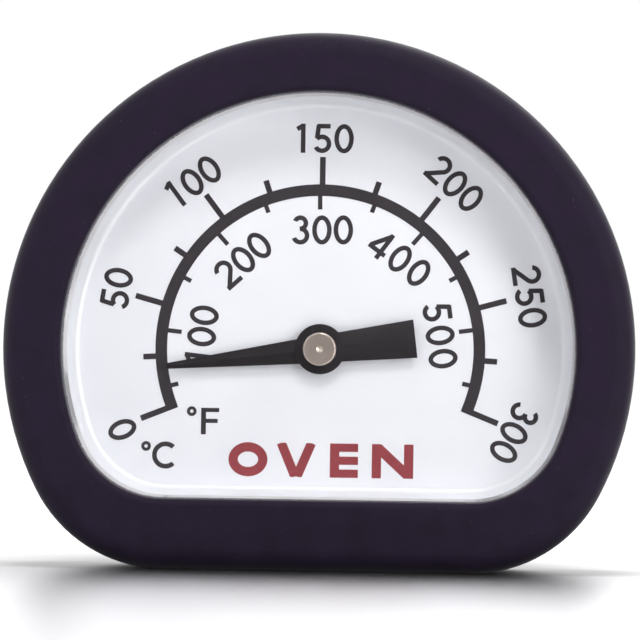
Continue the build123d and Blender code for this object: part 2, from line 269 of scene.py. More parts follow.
@dataclass(frozen=True)
class MouldedSilicone(Opaque):
    """Silicone rubber, moulded in a spark-eroded tool: matt, with a fine even grain and a bloom."""

    body: str = "#160b20"
    shade: str = "#1e1329"
    blotches: Noise = Noise(3.0, 5.0)
    # The eroded grain is finer than this, which is as coarse as it needs to be to show.
    grain: Noise = Noise(0.16, 2.0)
    grain_depth_mm: float = 0.012
    blotchy_gloss: bool = True
    roughness: float = 0.6
    ior: float = 1.42
    specular: float = 0.22
    sheen: float = 0.22
    dust: str = "#574d55"
    dust_share: float = 0.5
    specks: Noise = Noise(0.4, 1.0)
    speck_start: float = 0.77
    speck_end: float = 0.84

    def colour(self, tree: Tree, blotches: Socket) -> Socket:
        """Lay a few specks of dust, the peaks of a fine noise, over the two tones."""
        share = add_node(
            tree,
            "ShaderNodeMapRange",
            values={
                "From Min": self.speck_start,
                "From Max": self.speck_end,
                "To Max": self.dust_share,
            },
            links={"Value": self.specks.factor(tree)},
        )
        return add_node(
            tree,
            "ShaderNodeMix",
            data_type="RGBA",
            values={7: linear(self.dust)},
            links={"Factor": share.outputs["Result"], 6: super().colour(tree, blotches)},
        ).outputs[2]


@dataclass(frozen=True)
class Enamel(Opaque):
    """Stoved paint on sheet metal: smooth and nearly even, with a faint orange peel."""

    body: str = "#f2f3f8"
    shade: str = "#ecedf3"
    blotches: Noise = Noise(9.0)
    grain: Noise = Noise(0.5, 1.0)
    grain_strength: float = 0.3
    roughness: float = 0.38
    smoother: float = 0.04
    rougher: float = 0.06


@dataclass(frozen=True)
class PrintingInk(Opaque):
    """Pad-printed ink: matt and a little uneven where the pad left less."""

    body: str = "#211b22"
    shade: str = "#2d262d"
    blotches: Noise = Noise(0.7, 4.0)
    roughness: float = 0.6
    rougher: float = 0.12


@dataclass(frozen=True)
class RolledMetal(Opaque):
    """Metal with a fine directional grain, as rolling, drawing or turning leaves it."""

    body: str = "#b9b9bd"
    shade: str = "#8f9095"
    shade_share: float = 0.7
    # Real rolling lines are finer than this, which is as coarse as they need to be to show.
    grain: Noise = Noise(0.12, 4.0, (1, 0.03, 1))
    roughness: float = 0.28
    smoother: float = 0.06
    rougher: float = 0.12
    metallic: float = 1.0


@dataclass(frozen=True)
class CastMetal(Opaque):
    """Plated die casting: a fine cast skin that the plating has softened, darker in patches."""

    body: str = "#b3b0ab"
    shade: str = "#7d7a76"
    shade_share: float = 0.8
    blotches: Noise = Noise(2.2, 4.0)
    grain: Noise = Noise(0.35, 4.0)
    grain_depth_mm: float = 0.03
    grain_strength: float = 0.55
    roughness: float = 0.34
    smoother: float = 0.08
    rougher: float = 0.14
    metallic: float = 1.0


@dataclass(frozen=True)
class WindowGlass(Finish):
    """Float glass seen through: clear, with a mirror skin that grows towards the edge of sight."""

    gloss: str = "#ffffff"
    tint: str = "#fefefe"
    roughness: float = 0.03
    straight_share: float = 0.02
    steepness: float = 5.0

    def surface(self, tree: Tree) -> Socket:
        """A thin mirror over a clear sheet, so that the dial behind it stays bright."""
        mirror = add_node(
            tree,
            "ShaderNodeBsdfPrincipled",
            values={"Base Color": linear(self.gloss), "Metallic": 1.0, "Roughness": self.roughness},
        )
        clear = add_node(tree, "ShaderNodeBsdfTransparent", values={"Color": linear(self.tint)})
        # The share rises steeply towards the edge of sight, the same from both sides.
        facing = add_node(tree, "ShaderNodeLayerWeight", values={"Blend": 0.5}).outputs["Facing"]
        steep = add_node(
            tree, "ShaderNodeMath", values={1: self.steepness}, links={0: facing}, operation="POWER"
        )
        share = add_node(
            tree,
            "ShaderNodeMapRange",
            values={"To Min": self.straight_share},
            links={"Value": steep.outputs[0]},
        )
        return add_node(
            tree,
            "ShaderNodeMixShader",
            links={0: share.outputs["Result"], 1: clear.outputs[0], 2: mirror.outputs[0]},
        ).outputs[0]


@dataclass(frozen=True)
class SatinBoard(Finish):
    """Satin white board under the object, with a painted contact shadow where the object meets it."""

    reach_mm: float = 90.0
    least_open: float = 0.55
    most_open: float = 0.96
    # Colour of the board at the heart of the painted contact shadow.
    painted_shadow_darkest: float = 0.2
    palest: float = 0.95
    roughness: float = 0.35

    def surface(self, tree: Tree) -> Socket:
        """A rough mirror whose colour carries a painted contact shadow, darker the less open the place
        is.
        """
        # Painted contact shadow: ambient occlusion darkens the board's colour where the object stands
        # close.
        values = {"Distance": self.reach_mm * MM}
        openness = add_node(tree, "ShaderNodeAmbientOcclusion", values=values)
        paleness_with_painted_shadow = add_node(
            tree,
            "ShaderNodeMapRange",
            values={
                "From Min": self.least_open,
                "From Max": self.most_open,
                "To Min": self.painted_shadow_darkest,
                "To Max": self.palest,
            },
            links={"Value": openness.outputs["AO"]},
        )
        return add_node(
            tree,
            "ShaderNodeBsdfPrincipled",
            values={"Roughness": self.roughness, "Metallic": 1.0},
            links={"Base Color": paleness_with_painted_shadow.outputs["Result"]},
        ).outputs["BSDF"]


# Silicone of the surround: near black with a purple cast, matt, and pale only where it is lit askance.
SURROUND_SILICONE = MouldedSilicone("black_silicone_moulded")
# Silicone of the lid washer: the brick red of heat-proof sealing rings.
WASHER_SILICONE = MouldedSilicone(
    "red_silicone_washer",
    body="#7a2a20",
    shade="#86362a",
    dust="#a8685c",
    blotches=Noise(2.0, 5.0),
)
# Silicone of the ring under the glass: translucent white, here as a pale matt.
GASKET_SILICONE = MouldedSilicone(
    "white_silicone_gasket", body="#f1f0f2", shade="#e9e8ea", dust="#d8d6d6", sheen=0.0
)
# Enamel of the dial: cold white, satin, hardly any texture.
DIAL_ENAMEL = Enamel("white_enamel_dial_sheet")
# Enamel of the ring round the dial: the same white, a touch less glossy.
SPACER_ENAMEL = Enamel("white_enamel_spacer", roughness=0.42)
# Stoved black of the pointer: satin, lighter where its crown faces up.
POINTER_PAINT = Enamel(
    "black_stoved_paint",
    body="#150f14",
    shade="#1b141a",
    roughness=0.5,
    specular=0.3,
    blotches=Noise(2.0),
)
# Black dial ink: matt, warm black.
DIAL_INK = PrintingInk("black_pad_ink")
# Red dial ink: a dark brick red.
RED_INK = PrintingInk("red_pad_ink", body="#8c2b33", shade="#98383f")
# Drawn stainless steel of the case: satin, its grain along the draw.
CASE_STEEL = RolledMetal("stainless_steel_drawn", body="#b4b4b8", shade="#a6a6ab", roughness=0.33)
# Polished stainless steel of the bezel: bright, its grain nearly gone.
BEZEL_STEEL = RolledMetal(
    "stainless_steel_polished",
    body="#e4e4e8",
    shade="#d8d8dd",
    roughness=0.22,
    grain_depth_mm=0.0005,
)
# Stainless steel of the stem: drawn tube, grain along its length.
STEM_STEEL = RolledMetal("stainless_steel_tube", body="#c3c2c3", shade="#a5a4a6", roughness=0.24)
# Ground steel of the spindle and the anchor.
SPINDLE_STEEL = RolledMetal("ground_steel_rod", body="#a9a9ad", shade="#8c8c92")
# Zinc plate on the sleeve, the lock nut and the washer: bright, faintly blue.
ZINC_PLATE = RolledMetal(
    "zinc_plated_steel",
    body="#bcc0c6",
    shade="#989da6",
    grain=Noise(0.12, 4.0, (1, 1, 0.08)),
    roughness=0.27,
)
# Nickel plate on the pointer's cap: warm grey and satin, with no direction in its grain.
CAP_NICKEL = RolledMetal(
    "nickel_plated_brass",
    body="#d6c8be",
    shade="#c2b3a9",
    grain=Noise(0.12, 4.0),
    roughness=0.32,
)
# Turned brass of hub, collar and bushes.
TURNED_BRASS = RolledMetal(
    "turned_brass", body="#c9a25a", shade="#a78445", grain=Noise(0.12, 4.0, (1, 0.1, 1))
)
# Rolled bimetal strip: grey, with a straw tint.
BIMETAL = RolledMetal("rolled_bimetal_strip", body="#b0a897", shade="#8f8878")
# Nickel on the cast wing nut.
CAST_NICKEL = CastMetal("nickel_plated_casting")
# Clear flat glass of the window.
CLEAR_GLASS = WindowGlass("clear_float_glass")
# White board that the thermometer stands on, with a painted contact shadow round its foot.
WHITE_BOARD = SatinBoard("satin_white_board")


# ---- modelling by hand ----

# Turns a primitive that stands along Z so that its axis lies along Y.
ALONG_Y = (math.pi / 2, 0, 0)


def select_only(*pieces: Piece) -> None:
    """Select these pieces alone, the first of them active."""
    bpy.ops.object.select_all(action="DESELECT")
    for piece in pieces:
        piece.select_set(True)
    bpy.context.view_layer.objects.active = pieces[0]


def add_primitive(kind: str, **settings: object) -> Piece:
    """Add a primitive at its size and place, with its place in its mesh.

    Args:
        kind: cube, cylinder, circle, cone, plane or torus.
        settings: What the primitive's operator takes.

    Returns:
        The new object.
    """
    bpy.ops.object.select_all(action="DESELECT")
    scale = settings.pop("scale", (1, 1, 1))
    getattr(bpy.ops.mesh, f"primitive_{kind}_add")(**settings)
    made = bpy.context.object
    made.scale = scale
    bpy.ops.object.transform_apply(location=True, rotation=True, scale=True)
    return made


def rod(radius: float, start: float, end: float, vertices: int = 72, spot: Spot = (0, 0)) -> Piece:
    """Add a cylinder along Y.

    Args:
        radius: Its radius.
        start: Y of its first end.
        end: Y of its other end.
        vertices: Corners of its outline.
        spot: Its axis, in X and Z.

    Returns:
        The new object.
    """
    return add_primitive(
        "cylinder",
        vertices=vertices,
        radius=radius,
        depth=end - start,
        location=(spot[0], (start + end) / 2, spot[1]),
        rotation=ALONG_Y,
    )


@contextmanager
def editing(piece: Piece, selected: str = "DESELECT") -> Iterator[EditMesh]:
    """Open a piece in edit mode, and close it afterwards.

    Args:
        piece: The piece to edit.
        selected: SELECT to start with all of it selected, DESELECT with none.

    Yields:
        Its edit mesh, for selecting by place.
    """
    select_only(piece)
    bpy.ops.object.mode_set(mode="EDIT")
    bpy.ops.mesh.select_all(action=selected)
    try:
        yield bmesh.from_edit_mesh(piece.data)
    finally:
        bpy.ops.object.mode_set(mode="OBJECT")


def pick(mesh: EditMesh, piece: Piece, test: Callable[[Vector], bool], kind: str) -> None:
    """Select the vertices, edges or faces whose middle passes a test.

    Args:
        mesh: Edit mesh of the piece.
        piece: The piece in edit mode.
        test: Says whether a middle is wanted.
        kind: verts, edges or faces.
    """
    modes = {"verts": "VERT", "edges": "EDGE", "faces": "FACE"}
    bpy.ops.mesh.select_mode(type=modes[kind])
    for part in getattr(mesh, kind):
        corners = [part.co] if kind == "verts" else [corner.co for corner in part.verts]
        part.select_set(test(sum(corners, Vector()) / len(corners)))
    mesh.select_flush_mode()
    bmesh.update_edit_mesh(piece.data)


def apply_modifier(piece: Piece, kind: str, **settings: object) -> None:
    """Add a modifier to a piece and apply it.

    Args:
        piece: The piece to change.
        kind: Blender's name for the kind of modifier.
        settings: Properties of the modifier.
    """
    select_only(piece)
    modifier = piece.modifiers.new(kind.title(), kind)
    for key, value in settings.items():
        setattr(modifier, key, value)
    bpy.ops.object.modifier_apply(modifier=modifier.name)


def combine(target: Piece, tool: Piece, operation: str) -> Piece:
    """Unite, cut or trim a piece with another, which is used up.

    Args:
        target: The piece that stays.
        tool: The piece that is used up.
        operation: UNION, DIFFERENCE or INTERSECT.

    Returns:
        The piece that stays.
    """
    apply_modifier(target, "BOOLEAN", object=tool, operation=operation, solver="EXACT")
    bpy.data.objects.remove(tool)
    return target


def tidy_mesh(piece: Piece, gap: float = 0.0005) -> None:
    """Merge doubled vertices and turn every face outwards.

    Args:
        piece: The piece to tidy.
        gap: Distance under which vertices are merged, in millimetres.
    """
    with editing(piece, "SELECT"):
        bpy.ops.mesh.remove_doubles(threshold=gap)
        bpy.ops.mesh.normals_make_consistent(inside=False)


def shade_smooth(piece: Piece, angle: float = 32.0) -> None:
    """Shade a piece smooth, save at edges sharper than an angle in degrees."""
    select_only(piece)
    bpy.ops.object.shade_smooth_by_angle(angle=math.radians(angle), keep_sharp_edges=False)


def copy_of(piece: Piece) -> Piece:
    """Copy a piece, mesh and all."""
    made = piece.copy()
    made.data = piece.data.copy()
    bpy.context.scene.collection.objects.link(made)
    return made


def joined(pieces: list[Piece]) -> Piece:
    """Join pieces into the first of them."""
    select_only(*pieces)
    if len(pieces) > 1:
        bpy.ops.object.join()
    return bpy.context.object


def dress(piece: Piece, finish: Finish) -> None:
    """Give every face of a piece one finish."""
    if not piece.material_slots:
        piece.data.materials.append(None)
    for slot in piece.material_slots:
        slot.material = finish.material()


def install(
    piece: Piece,
    name: str,
    finish: Finish,
    body: Body,
    replaced: str | None = None,
) -> Piece:
    """Scale a finished piece to metres, dress it and hand it to the frame.

    Args:
        piece: The piece, in millimetres, where it belongs.
        name: Its name.
        finish: Its finish.
        body: The body that it rides on.
        replaced: CAD node that it stands for, if any.

    Returns:
        The installed piece.
    """
    piece.data.transform(Matrix.Scale(MM, 4))
    piece.name = name
    piece.data.name = name
    dress(piece, finish)
    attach(piece, body.value)
    if replaced:
        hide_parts(replaced)
    log.info("%s: %d faces on %s", name, len(piece.data.polygons), body.value)
    return piece


def dress_node(node: str, finish: Finish) -> None:
    """Give a CAD node that keeps its shape its finish."""
    dress(frame["nodes"][node], finish)
    log.info("%s: CAD shape, %s", node, finish.name)


def node_box(node: str) -> tuple[Vector, Vector]:
    """Lowest and highest corner of a CAD node, in millimetres."""
    low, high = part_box(node)
    return Vector(low) / MM, Vector(high) / MM


def stem_axis() -> Vector:
    """Where the axis of stem, pointer and dial crosses y = 0, in millimetres."""
    low, high = node_box("stem_tube")
    return Vector(((low.x + high.x) / 2, 0, (low.z + high.z) / 2))


# ---- the dial's plane ----


@dataclass(frozen=True)
class DialPlane:
    """Where the print goes: the dial's front face and the stem axis through it.

    Angles are in degrees, counter-clockwise from the right as the dial is read.
    """

    centre: Vector
    face: float
    first_mark: float
    sweep: float
    rest_turn: float
    top_temperature: float = 300.0
    magnify: float = 1.011

    @classmethod
    def from_frame(cls) -> "DialPlane":
        """Read the plane from the dial's node and the scale from the pointer's joint."""
        joint = next(j for j in frame["joints"] if j["name"] == "pointer_turn")
        start, end = joint["range_deg"]
        sweep = end - start
        return cls(
            centre=stem_axis(),
            face=node_box("dial_plate")[0].y,
            first_mark=90 + sweep / 2,
            sweep=sweep,
            rest_turn=90 + sweep / 2 + start,
        )

    def angle(self, celsius: float) -> float:
        """Angle of a temperature on the scale."""
        return self.first_mark - self.sweep * celsius / self.top_temperature

    def place(self, spot: Spot, turn: float = 0.0) -> Matrix:
        """Matrix that carries a flat piece from the origin to a spot on the dial.

        Args:
            spot: Place in the dial's plane, from the stem axis.
            turn: Degrees to turn it, counter-clockwise as the dial is read.

        Returns:
            The matrix, in millimetres.
        """
        offset = self.centre + Vector((self.magnify * spot[0], self.face, self.magnify * spot[1]))
        grown = Matrix.Diagonal((self.magnify, 1, self.magnify, 1))
        return Matrix.Translation(offset) @ self.turned(turn) @ grown

    @staticmethod
    def turned(turn: float) -> Matrix:
        """Matrix that turns a piece by degrees, counter-clockwise as the dial is read."""
        return Matrix.Rotation(-math.radians(turn), 4, "Y")


@dataclass
class Pen:
    """Draws flat strokes in the XZ plane as closed solids, then unites them into one piece."""

    width: float
    thickness: float = 0.03
    buried: float = 0.01
    steps_per_turn: int = 72
    strokes: list[Piece] = field(default_factory=list)

    @property
    def middle(self) -> float:
        """Middle of the ink's thickness along Y, a little of it sunk into the dial."""
        return self.buried - self.depth / 2

    @property
    def depth(self) -> float:
        """Whole thickness of a stroke."""
        return self.thickness + self.buried

    def bar(self, start: Spot, end: Spot, width: float | None = None) -> "Pen":
        """Draw a straight stroke between two spots.

        Args:
            start: Middle of one end.
            end: Middle of the other end.
            width: Width, if it isn't the pen's own.

        Returns:
            The pen.
        """
        run = Vector(end) - Vector(start)
        made = add_primitive(
            "cube",
            size=1,
            location=((start[0] + end[0]) / 2, self.middle, (start[1] + end[1]) / 2),
            rotation=(0, -math.atan2(run.y, run.x), 0),
            scale=(run.length, self.depth, width or self.width),
        )
        self.strokes.append(made)
        return self

    def arc(self, centre: Spot, radius: float, start: float, end: float) -> "Pen":
        """Draw a round stroke: a small cross-section, spun about its centre.

        Args:
            centre: Centre of the arc.
            radius: Radius of the stroke's middle line.
            start: Angle where it starts, in degrees.
            end: Angle where it ends, in degrees.

        Returns:
            The pen.
        """
        start, end = min(start, end), max(start, end)
        angle = math.radians(start)
        made = add_primitive(
            "plane",
            size=1,
            location=(
                centre[0] + radius * math.cos(angle),
                self.middle,
                centre[1] + radius * math.sin(angle),
            ),
            rotation=(0, -angle, 0),
            scale=(self.width, self.depth, 1),
        )
        with editing(made, "SELECT"):
            bpy.ops.mesh.spin(
                steps=max(6, round(self.steps_per_turn * abs(end - start) / 360)),
                angle=math.radians(end - start),
                center=(centre[0], 0, centre[1]),
                axis=(0, 1, 0),
            )
        tidy_mesh(made)
        self.strokes.append(made)
        return self

    def oval(self, centre: Spot, half_width: float, half_height: float) -> "Pen":
        """Draw a closed ring of even width inside an oval outline.

        Args:
            centre: Centre of the oval.
            half_width: Half of its outside width.
            half_height: Half of its outside height.

        Returns:
            The pen.
        """
        made = add_primitive(
            "circle",
            vertices=self.steps_per_turn,
            radius=1,
            fill_type="NGON",
            location=(centre[0], self.buried, centre[1]),
            rotation=ALONG_Y,
            scale=(half_width, half_height, 1),
        )
        with editing(made, "SELECT"):
            bpy.ops.mesh.inset(thickness=self.width)
            bpy.ops.mesh.delete(type="FACE")
            bpy.ops.mesh.select_all(action="SELECT")
            bpy.ops.mesh.extrude_region_move(TRANSFORM_OT_translate={"value": (0, -self.depth, 0)})
        tidy_mesh(made)
        self.strokes.append(made)
        return self

    def lift(self) -> Piece:
        """Unite the strokes into one piece and start afresh."""
        first, *rest = self.strokes
        for stroke in rest:
            combine(first, stroke, "UNION")
        tidy_mesh(first)
        self.strokes = []
        return first


# ---- numerals ----


@dataclass
class Numerals:
    """Geometric sans-serif characters, each drawn once about its own middle and copied."""

    height: float = 3.0
    stroke: float = 0.47
    masters: dict[str, Piece] = field(default_factory=dict)

    def build(self) -> None:
        """Draw every character that the dial needs."""
        half = self.height / 2
        edge = half - self.stroke / 2
        pen = Pen(self.stroke)
        self.masters["0"] = pen.oval((0, 0), 1.0, half).lift()
        self.masters["1"] = pen.bar((0.2, -half), (0.2, half)).bar((-0.42, 0.93), (0.16, 1.28)).lift()
        self.masters["2"] = self.two(pen, half, edge)
        self.masters["3"] = self.three(pen, edge)
        self.masters["4"] = self.four(pen, half)
        self.masters["5"] = self.five(pen, edge)
        for master in self.masters.values():
            master.hide_render = True

    @staticmethod
    def two(pen: Pen, half: float, edge: float) -> Piece:
        """A round shoulder that runs straight down to a flat foot."""
        radius, centre, leave = 0.72, (0.0, 0.55), -44.0
        turn = math.radians(leave)
        corner = (centre[0] + radius * math.cos(turn), centre[1] + radius * math.sin(turn))
        fall = (corner[1] + edge) / math.cos(turn)
        foot = (corner[0] + fall * math.sin(turn), -edge)
        pen.arc(centre, radius, 170, leave).bar(corner, foot)
        return pen.bar((-0.96, -edge), (0.92, -edge)).lift()

    @staticmethod
    def three(pen: Pen, edge: float) -> Piece:
        """Two bowls, open to the left, that meet in the middle."""
        upper, lower = 0.57, 0.69
        pen.arc((-0.02, edge - upper), upper, 158, -95)
        return pen.arc((-0.02, lower - edge), lower, 95, -160).lift()

    @staticmethod
    def four(pen: Pen, half: float) -> Piece:
        """A stem, a crossbar that passes it and a slope that closes the triangle."""
        stem, bar = 0.40, -0.74
        pen.bar((stem, -half), (stem, half)).bar((-1.06, bar), (0.98, bar))
        return pen.bar((-0.90, bar + 0.05), (stem - 0.02, half - 0.24)).lift()

    @staticmethod
    def five(pen: Pen, edge: float) -> Piece:
        """A flat top, a short stem and a round bowl."""
        bowl = 0.72
        pen.bar((-0.56, edge), (0.80, edge)).bar((-0.40, edge + 0.1), (-0.58, 0.0))
        return pen.arc((-0.06, bowl - edge), bowl, 138, -152).lift()

    def write(self, text: str, pitch: float) -> Piece:
        """Set characters side by side about the origin.

        Args:
            text: Digits to set.
            pitch: Distance from one digit to the next.

        Returns:
            The digits as one flat piece.
        """
        copies = []
        for place, character in enumerate(text):
            made = copy_of(self.masters[character])
            made.hide_render = False
            made.data.transform(Matrix.Translation(((place - (len(text) - 1) / 2) * pitch, 0, 0)))
            copies.append(made)
        return joined(copies)

    def clear(self) -> None:
        """Remove the masters."""
        for master in self.masters.values():
            bpy.data.objects.remove(master)


@dataclass(frozen=True)
class Label:
    """A number on the dial, centred on its mark."""

    text: str
    celsius: float
    radius: float
    shift: float = 0.0
    lean: float = 0.0
    pitch: float = 2.2


def from_fahrenheit(degrees: float) -> float:
    """Celsius value of a Fahrenheit temperature."""
    return (degrees - 32) / 1.8


@dataclass
class DialPrint:
    """Everything that is printed on the dial: the arc, its marks, the numbers and the signs."""

    plane: DialPlane
    arc_radius: float = 16.34
    arc_width: float = 1.20
    celsius_width: float = 0.585
    celsius_long: float = 19.75
    celsius_short: float = 18.2
    end_mark_width: float = 0.60
    fahrenheit_width: float = 0.45
    fahrenheit_long: float = 14.35
    fahrenheit_short: float = 15.0
    celsius_labels: tuple[Label, ...] = (
        Label("0", 0, 21.95, -0.39),
        Label("50", 50, 21.85, 0.17, lean=6),
        Label("100", 100, 21.65, -0.39, lean=-0.5),
        Label("150", 150, 21.65, -0.06),
        Label("200", 200, 21.9, 0.41, lean=-4.6),
        Label("250", 250, 22.15, 0.17, lean=-6.5),
        Label("300", 300, 21.65, 0.24, lean=-6),
    )
    fahrenheit_labels: tuple[Label, ...] = (
        Label("100", from_fahrenheit(100), 12.25, -0.22),
        Label("200", from_fahrenheit(200), 12.15, 0.15),
        Label("300", from_fahrenheit(300), 12.25, 0.18),
        Label("400", from_fahrenheit(400), 12.4, 0.0, lean=4, pitch=2.4),
        Label("500", from_fahrenheit(500), 12.4, 0.12, pitch=2.4),
    )

    def build(self) -> None:
        """Print the dial, one piece for each thing that a printer would name."""
        self.scale()
        numerals = Numerals()
        numerals.build()
        for unit, labels in (("c", self.celsius_labels), ("f", self.fahrenheit_labels)):
            for label in labels:
                self.number(numerals, unit, label)
        numerals.clear()
        self.unit_signs()
        self.word()

    def ink(self, piece: Piece, name: str, finish: Finish) -> None:
        """Install a printed piece on the case."""
        install(piece, name, finish, Body.CASE)

    def radial_bar(self, pen: Pen, celsius: float, inner: float, outer: float, width: float) -> None:
        """Draw a mark along the radius at a temperature."""
        turn = math.radians(self.plane.angle(celsius))
        direction = (math.cos(turn), math.sin(turn))
        start = (inner * direction[0], inner * direction[1])
        end = (outer * direction[0], outer * direction[1])
        pen.bar(start, end, width)

    def scale(self) -> None:
        """Print the arc with the Celsius marks outside it and the Fahrenheit marks inside."""
        inner = self.arc_radius - self.arc_width / 2
        outer = self.arc_radius + self.arc_width / 2
        overlap = self.arc_width / 4
        pen = Pen(self.arc_width, steps_per_turn=240)
        pen.arc((0, 0), self.arc_radius, self.plane.angle(0), self.plane.angle(300))
        for celsius in range(25, 300, 25):
            reach = self.celsius_short if celsius % 50 else self.celsius_long
            self.radial_bar(pen, celsius, outer - overlap, reach, self.celsius_width)
        for end in (0, 300):
            self.radial_bar(pen, end, inner + 0.02, self.celsius_long, self.end_mark_width)
        for degrees in range(50, 600, 50):
            reach = self.fahrenheit_short if degrees % 100 else self.fahrenheit_long
            mark = from_fahrenheit(degrees)
            self.radial_bar(pen, mark, reach, inner + overlap, self.fahrenheit_width)
        piece = pen.lift()
        piece.data.transform(self.plane.place((0, 0)))
        self.ink(piece, "scale_arc_and_marks", DIAL_INK)

    def number(self, numerals: Numerals, unit: str, label: Label) -> None:
        """Print one number, centred on its mark and turned to stand on the arc."""
        piece = numerals.write(label.text, label.pitch)
        angle = self.plane.angle(label.celsius)
        turn = math.radians(angle)
        spot = (
            label.radius * math.cos(turn) + label.shift * math.sin(turn),
            label.radius * math.sin(turn) - label.shift * math.cos(turn),
        )
        piece.data.transform(self.plane.place(spot, angle - 90 + label.lean))
        self.ink(piece, f"number_{label.text}_{unit}", DIAL_INK)

    def unit_signs(self) -> None:
        """Print the degree signs with F and C."""
        half, edge, thin, middle = 1.36, 1.15, 0.42, 0.03
        ring = Pen(0.32).oval((0, 0), 0.5, 0.5).lift()
        pen = Pen(0.5).bar((-0.68, -half), (-0.68, half)).bar((-0.7, edge), (0.93, edge), thin)
        letters = {
            "fahrenheit": pen.bar((-0.7, middle), (0.78, middle), thin).lift(),
            "celsius": Pen(0.48).arc((0.12, 0), edge, 47, 313).lift(),
        }
        places = {
            "fahrenheit": ((-11.2, -7.55), (-13.1, -6.55)),
            "celsius": ((-15.85, -11.1), (-17.75, -10.2)),
        }
        for unit, letter in letters.items():
            degree = copy_of(ring)
            for piece, spot in zip((letter, degree), places[unit]):
                piece.data.transform(self.plane.place(spot))
            self.ink(joined([letter, degree]), f"sign_{unit}", DIAL_INK)
        bpy.data.objects.remove(ring)

    def word(self) -> None:
        """Print a plain generic word under the pivot, in red ink."""
        half, crossbar = 1.75, 0.84
        o_middle, v_middle, e_stem, n_left, n_right = -7.6, -2.65, 1.3, 5.6, 8.9
        v_spread, v_foot, e_reach = 1.55, 0.1, 2.4
        pen = Pen(0.95)
        letters = [pen.oval((o_middle, 0), 2.0, half).lift()]
        for side in (-1, 1):
            foot = (v_middle + side * v_foot, 0.05 - half)
            pen.bar((v_middle + side * v_spread, half), foot)
        letters.append(self.trimmed(pen.lift(), v_middle, half))
        pen.bar((e_stem, -half), (e_stem, half))
        for height in (crossbar / 2 - half, 0.0, half - crossbar / 2):
            pen.bar((e_stem - 0.4, height), (e_stem + e_reach, height), crossbar)
        letters.append(pen.lift())
        pen.bar((n_left, -half), (n_left, half)).bar((n_right, -half), (n_right, half))
        pen.bar((n_left - 0.15, half - 0.1), (n_right + 0.15, 0.1 - half), 1.0)
        letters.append(self.trimmed(pen.lift(), (n_left + n_right) / 2, half))
        piece = joined(letters)
        piece.data.transform(self.plane.place((0.35, -11.4)))
        self.ink(piece, "word_oven", RED_INK)

    @staticmethod
    def trimmed(letter: Piece, middle: float, half: float) -> Piece:
        """Cut a letter's slanting strokes off level with its top and its foot.

        Args:
            letter: The letter, whose baseline runs along X.
            middle: X of its middle.
            half: Half of its height.

        Returns:
            The letter.
        """
        block = add_primitive("cube", size=1, location=(middle, 0, 0), scale=(9, 1, 2 * half))
        return combine(letter, block, "INTERSECT")


# ---- dished ring round the dial ----


@dataclass(frozen=True)
class Outline:
    """D-shaped outline about the stem axis: a circle cut flat below, with rounded corners."""

    radius: float
    drop: float
    corner: float

    def grown(self, amount: float) -> "Outline":
        """Outline at a distance outside this one; inside it for a negative distance."""
        return Outline(self.radius + amount, self.drop + amount, self.corner + amount)

    def reach(self, angle: float) -> float:
        """Distance from the axis to the outline in one direction.

        Args:
            angle: Direction in radians, counter-clockwise from the right.

        Returns:
            The distance.
        """
        across, up = max(abs(math.cos(angle)), 1e-9), math.sin(angle)
        centre_up = self.corner - self.drop
        centre_across = math.sqrt((self.radius - self.corner) ** 2 - centre_up**2)
        if up / across >= centre_up / centre_across:
            return self.radius
        if up / across <= -self.drop / centre_across:
            return -self.drop / up
        along = across * centre_across + up * centre_up
        return along + math.sqrt(along**2 - centre_across**2 - centre_up**2 + self.corner**2)


@dataclass
class DialRing:
    """The white ring round the dial, hollowed so that it runs down to the dial without a step."""

    plane: DialPlane
    corner: float = 10.7
    rim: float = 1.3
    width: float = 2.4
    steps: int = 10
    around: int = 288

    def build(self) -> None:
        """Loft the ring's section round the outline, loop by loop, and close it."""
        low, high = node_box("dial_spacer")
        outer = Outline((high.x - low.x) / 2, self.plane.centre.z - low.z, self.corner)
        hollow = self.width - self.rim
        sections = [(0.0, high.y), (0.0, low.y)]
        for step in range(self.steps + 1):
            turn = math.pi / 2 * step / self.steps
            across = self.width - hollow * math.cos(turn)
            sections.append((across, low.y + (high.y - low.y) * math.sin(turn)))
        piece = add_primitive(
            "circle",
            vertices=self.around,
            radius=1,
            fill_type="NOTHING",
            rotation=ALONG_Y,
        )
        with editing(piece) as mesh:
            bpy.ops.mesh.select_mode(type="EDGE")
            bpy.ops.mesh.select_all(action="SELECT")
            for number, (inwards, y) in enumerate(sections):
                if number:
                    bpy.ops.mesh.extrude_region_move()
                    mesh = bmesh.from_edit_mesh(piece.data)
                self.lay_loop(mesh, outer.grown(-inwards), y)
                bmesh.update_edit_mesh(piece.data)
            bpy.ops.mesh.select_all(action="DESELECT")
            for edge in mesh.edges:
                edge.select_set(edge.is_boundary)
            bmesh.update_edit_mesh(piece.data)
            bpy.ops.mesh.bridge_edge_loops()
        tidy_mesh(piece)
        shade_smooth(piece, 40)
        piece.data.transform(Matrix.Translation(self.plane.centre))
        install(piece, "dial_ring", SPACER_ENAMEL, Body.CASE, "dial_spacer")

    @staticmethod
    def lay_loop(mesh: EditMesh, outline: Outline, y: float) -> None:
        """Move the selected loop onto an outline.

        Args:
            mesh: Edit mesh whose selected vertices form the loop.
            outline: Outline to lay it on.
            y: Depth of the loop.
        """
        for vertex in mesh.verts:
            if vertex.select:
                angle = math.atan2(vertex.co.z, vertex.co.x)
                reach = outline.reach(angle)
                vertex.co = (reach * math.cos(angle), y, reach * math.sin(angle))


# ---- pointer ----


